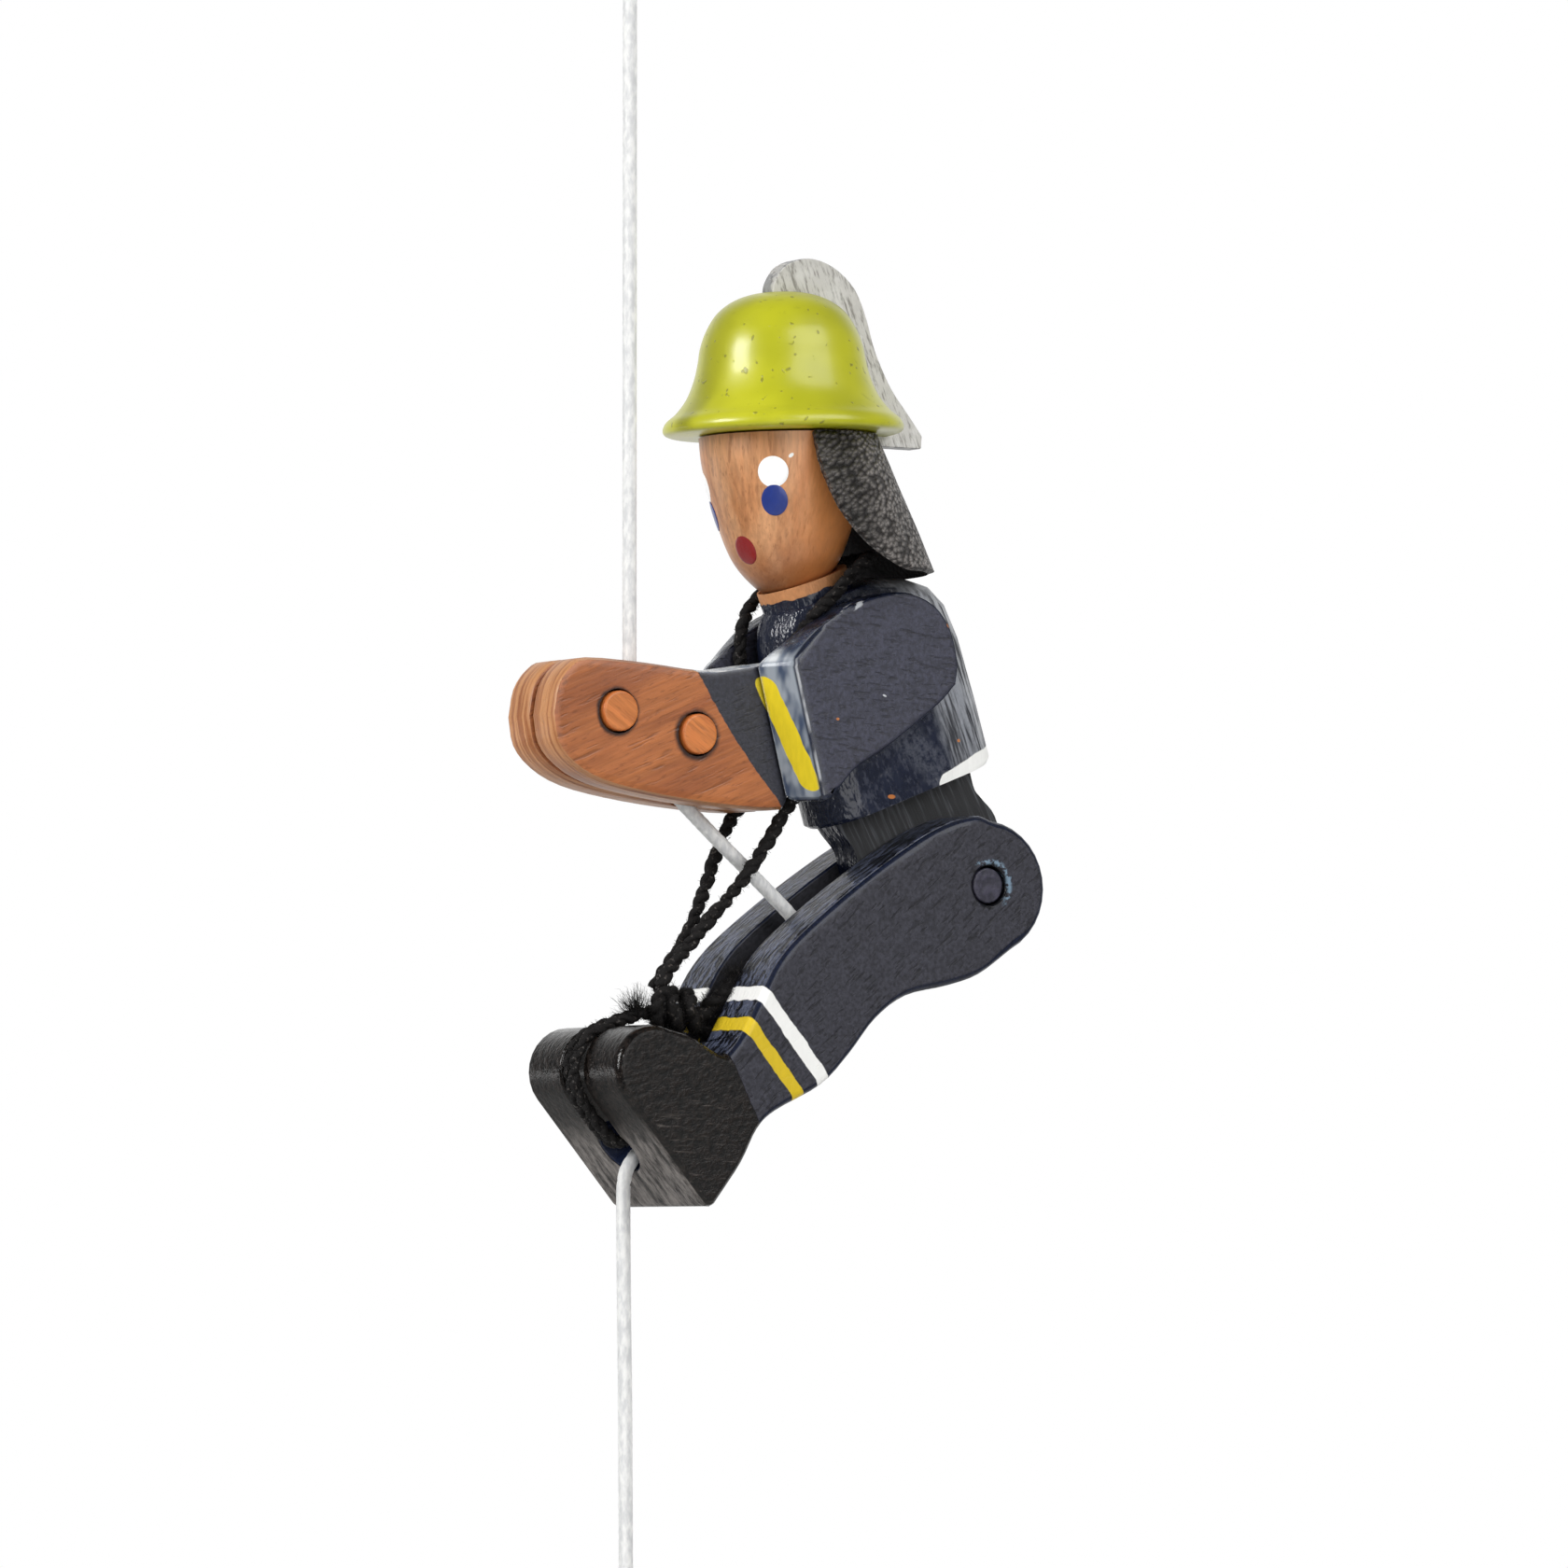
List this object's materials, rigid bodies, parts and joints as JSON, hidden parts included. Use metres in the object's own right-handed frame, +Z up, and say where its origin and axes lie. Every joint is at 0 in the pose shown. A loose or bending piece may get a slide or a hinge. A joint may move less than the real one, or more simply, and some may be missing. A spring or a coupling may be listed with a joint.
{
  "type": "rope climbing toy",
  "caption": "Wooden firefighter figure that climbs a hanging white cord: hands grip the cord, slotted legs swing on a hip pin and an elastic pulls the feet back up",
  "frame": {"origin": "the point where a hook bears on the inside of the hanging loop's top", "axes": "+Z up along the hanging cord, -X the way the figure faces, -Y the figure's left side"},
  "size_m": [0.0778, 0.039, 0.2506],
  "materials": {
    "navy_paint": "brushed navy paint on wood, grain showing through, edges worn",
    "beech": "varnished fine-grained hardwood with dark pores",
    "lime_lacquer": "glossy lime-yellow lacquer on turned wood",
    "silver_paint": "silver paint over coarse wood grain",
    "leather": "dark grey grained leather",
    "steel": "plain wire nail",
    "white_cord": "fine braided white cord",
    "black_elastic": "twisted black elastic, fuzzy"
  },
  "bodies": {
    "rope": {"hanging_loop": "white_cord", "loop_knot": "white_cord", "cord_upper": "white_cord", "cord_lower": "white_cord", "end_knot": "white_cord"},
    "grip": {"cord_in_hands": "white_cord"},
    "figure": {"torso": "navy_paint", "head": "beech", "neck_dowel": "beech", "helmet": "lime_lacquer", "helmet_crest": "silver_paint", "neck_flap": "leather", "upper_arm_left": "navy_paint", "upper_arm_right": "navy_paint", "forearm_left": "beech", "forearm_right": "beech", "front_hand_peg": "beech", "rear_hand_peg": "beech", "elastic_band": "black_elastic", "cord_crossing": "white_cord"},
    "leg_block": {"legs": "navy_paint", "hip_pin": "navy_paint", "cord_pin": "steel", "cord_in_legs": "white_cord", "elastic_knot": "black_elastic", "elastic_foot_loop": "black_elastic"}
  },
  "joints": [
    {"name": "climb", "type": "slide", "parent": "rope", "child": "grip", "axis": [0, 0, 1], "range_m": [-0.03, 0.05], "deforming": ["cord_upper", "cord_lower"]},
    {"name": "hand_pivot", "type": "hinge", "parent": "grip", "child": "figure", "pos_m": [0.001, 0, -0.1233], "axis": [0, 1, 0], "range_deg": [0, 15], "deforming": ["cord_in_hands"]},
    {"name": "hip", "type": "hinge", "parent": "figure", "child": "leg_block", "pos_m": [0.052, 0, -0.144], "axis": [0, -1, 0], "range_deg": [0, 24], "stiffness_Nm_per_rad": 0.05, "springref_deg": -45.84, "deforming": ["cord_crossing", "elastic_band"]}
  ],
  "couplings": [
    {"joint": "hand_pivot", "follows": "hip", "ratio": 0.62}
  ]
}
